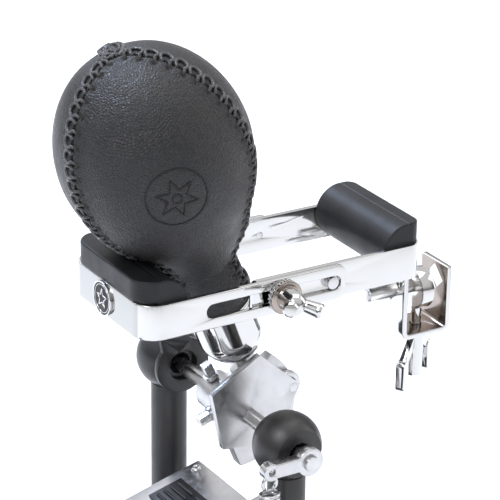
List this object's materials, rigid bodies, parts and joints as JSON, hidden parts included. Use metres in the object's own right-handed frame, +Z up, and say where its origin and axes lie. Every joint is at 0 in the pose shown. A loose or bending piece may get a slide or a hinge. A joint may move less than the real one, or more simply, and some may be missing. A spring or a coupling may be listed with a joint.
{
  "type": "bass drum pedal",
  "caption": "Foot pedal with a footboard, axle, cam and spring that swings a laced leather maraca between rubber stop pads on an adjustable flat steel frame with a rod clamp.",
  "frame": {"origin": "on the floor straight below the middle of the axle, midway between the two posts", "axes": "+X towards the drum along the footboard, +Y to the far side along the axle, +Z up"},
  "size_m": [0.4408, 0.179, 0.3661],
  "materials": {
    "black_steel": "satin black powder coat",
    "rubber": "matt moulded rubber",
    "chrome": "polished plate",
    "steel": "bright machined",
    "cast": "satin cast",
    "leather": "waxed full grain, black",
    "lace": "waxed cord, black",
    "badge": "glossy black enamel",
    "pellet": "matt",
    "wood": "plain turned wood"
  },
  "bodies": {
    "base": {"base_plate": "black_steel", "base_sheet": "rubber", "heel_plate": "black_steel", "heel_pin": "steel", "near_post": "black_steel", "far_post": "black_steel", "near_housing": "black_steel", "far_housing": "black_steel", "outer_races": "steel", "bearing_balls": "steel", "post_screws": "steel", "front_bridge": "black_steel", "hoop_claw": "black_steel", "spring_lug": "black_steel", "spring_rod": "steel", "spring_nut": "steel", "return_spring": "steel", "support_plate": "black_steel", "support_screws": "steel", "front_band": "chrome", "left_pad": "rubber", "badge_ring": "chrome", "badge_disc": "badge"},
    "hoop_screw": {"hoop_screw": "chrome"},
    "rear_frame": {"rear_band": "chrome", "right_pad": "rubber", "guide_pins": "steel", "weld_nuts": "steel", "clamp_channel": "chrome", "channel_rivets": "steel"},
    "near_wing_bolt": {"near_wing_bolt": "chrome"},
    "far_wing_bolt": {"far_wing_bolt": "chrome"},
    "eye_bolt": {"eye_bolt": "chrome"},
    "mount_rod": {"mount_rod": "steel"},
    "clamp_wing_nut": {"clamp_wing_nut": "chrome"},
    "axle": {"hex_axle": "steel", "inner_races": "steel", "hub": "cast", "cam_fan": "cast", "cam_plate": "cast", "cam_pin": "steel", "spring_rocker": "steel", "axle_cap": "steel"},
    "hub_key": {"hub_key": "steel"},
    "cam_key": {"cam_key": "steel"},
    "shaft_key": {"shaft_key": "steel"},
    "maraca": {"maraca_shaft": "steel", "ferrule": "chrome", "neck_plug": "wood", "front_panel": "leather", "drum_side_panel": "leather", "back_panel": "leather", "seam_lacing": "lace", "pellets": "pellet"},
    "footboard": {"footboard": "cast", "board_grip": "rubber", "board_pin": "steel"},
    "drive_link": {"drive_link": "steel"}
  },
  "joints": [
    {"name": "axle_turn", "type": "hinge", "parent": "base", "child": "axle", "pos_m": [0, 0, 0.15], "axis": [0, 1, 0], "range_deg": [0, 38], "stiffness_Nm_per_rad": 0.9, "springref_deg": -34.38, "deforming": ["return_spring"]},
    {"name": "footboard_hinge", "type": "hinge", "parent": "base", "child": "footboard", "pos_m": [-0.232, 0, 0.016], "axis": [0, 1, 0], "range_deg": [0, 4.6]},
    {"name": "link_hinge", "type": "hinge", "parent": "footboard", "child": "drive_link", "pos_m": [0.026, 0, 0.084], "axis": [0, 1, 0], "range_deg": [-6.6, 0]},
    {"name": "maraca_height", "type": "slide", "parent": "axle", "child": "maraca", "axis": [-0.3795, 0, 0.9252], "range_m": [0, 0.012]},
    {"name": "hub_key_turn", "type": "hinge", "parent": "axle", "child": "hub_key", "pos_m": [0, 0.008, 0.15], "axis": [-0.4067, 0, 0.9135], "continuous": true},
    {"name": "cam_key_turn", "type": "hinge", "parent": "axle", "child": "cam_key", "pos_m": [0, -0.0042, 0.15], "axis": [-0.9272, 0, -0.3746], "continuous": true},
    {"name": "shaft_key_turn", "type": "hinge", "parent": "axle", "child": "shaft_key", "pos_m": [0.01553, 0, 0.15853], "axis": [0.9252, 0, 0.3795], "continuous": true},
    {"name": "frame_length", "type": "slide", "parent": "base", "child": "rear_frame", "axis": [1, 0, 0], "range_m": [-0.038, 0]},
    {"name": "near_wing_turn", "type": "hinge", "parent": "rear_frame", "child": "near_wing_bolt", "pos_m": [0.0104, -0.042, 0.227], "axis": [0, -1, 0], "continuous": true},
    {"name": "far_wing_turn", "type": "hinge", "parent": "rear_frame", "child": "far_wing_bolt", "pos_m": [0.0104, 0.042, 0.227], "axis": [0, 1, 0], "continuous": true},
    {"name": "eye_lift", "type": "slide", "parent": "rear_frame", "child": "eye_bolt", "axis": [0, 0, 1], "range_m": [0, 0.0015]},
    {"name": "rod_slide", "type": "slide", "parent": "eye_bolt", "child": "mount_rod", "axis": [1, 0, 0], "range_m": [-0.003, 0.002]},
    {"name": "clamp_nut_turn", "type": "hinge", "parent": "rear_frame", "child": "clamp_wing_nut", "pos_m": [0.1218, -0.008, 0.16], "axis": [0, 0, 1], "continuous": true},
    {"name": "hoop_screw_lift", "type": "slide", "parent": "base", "child": "hoop_screw", "axis": [0, 0, 1], "range_m": [-0.005, 0.006]}
  ],
  "couplings": [
    {"joint": "footboard_hinge", "follows": "axle_turn", "ratio": 0.113},
    {"joint": "link_hinge", "follows": "axle_turn", "ratio": -0.165}
  ]
}
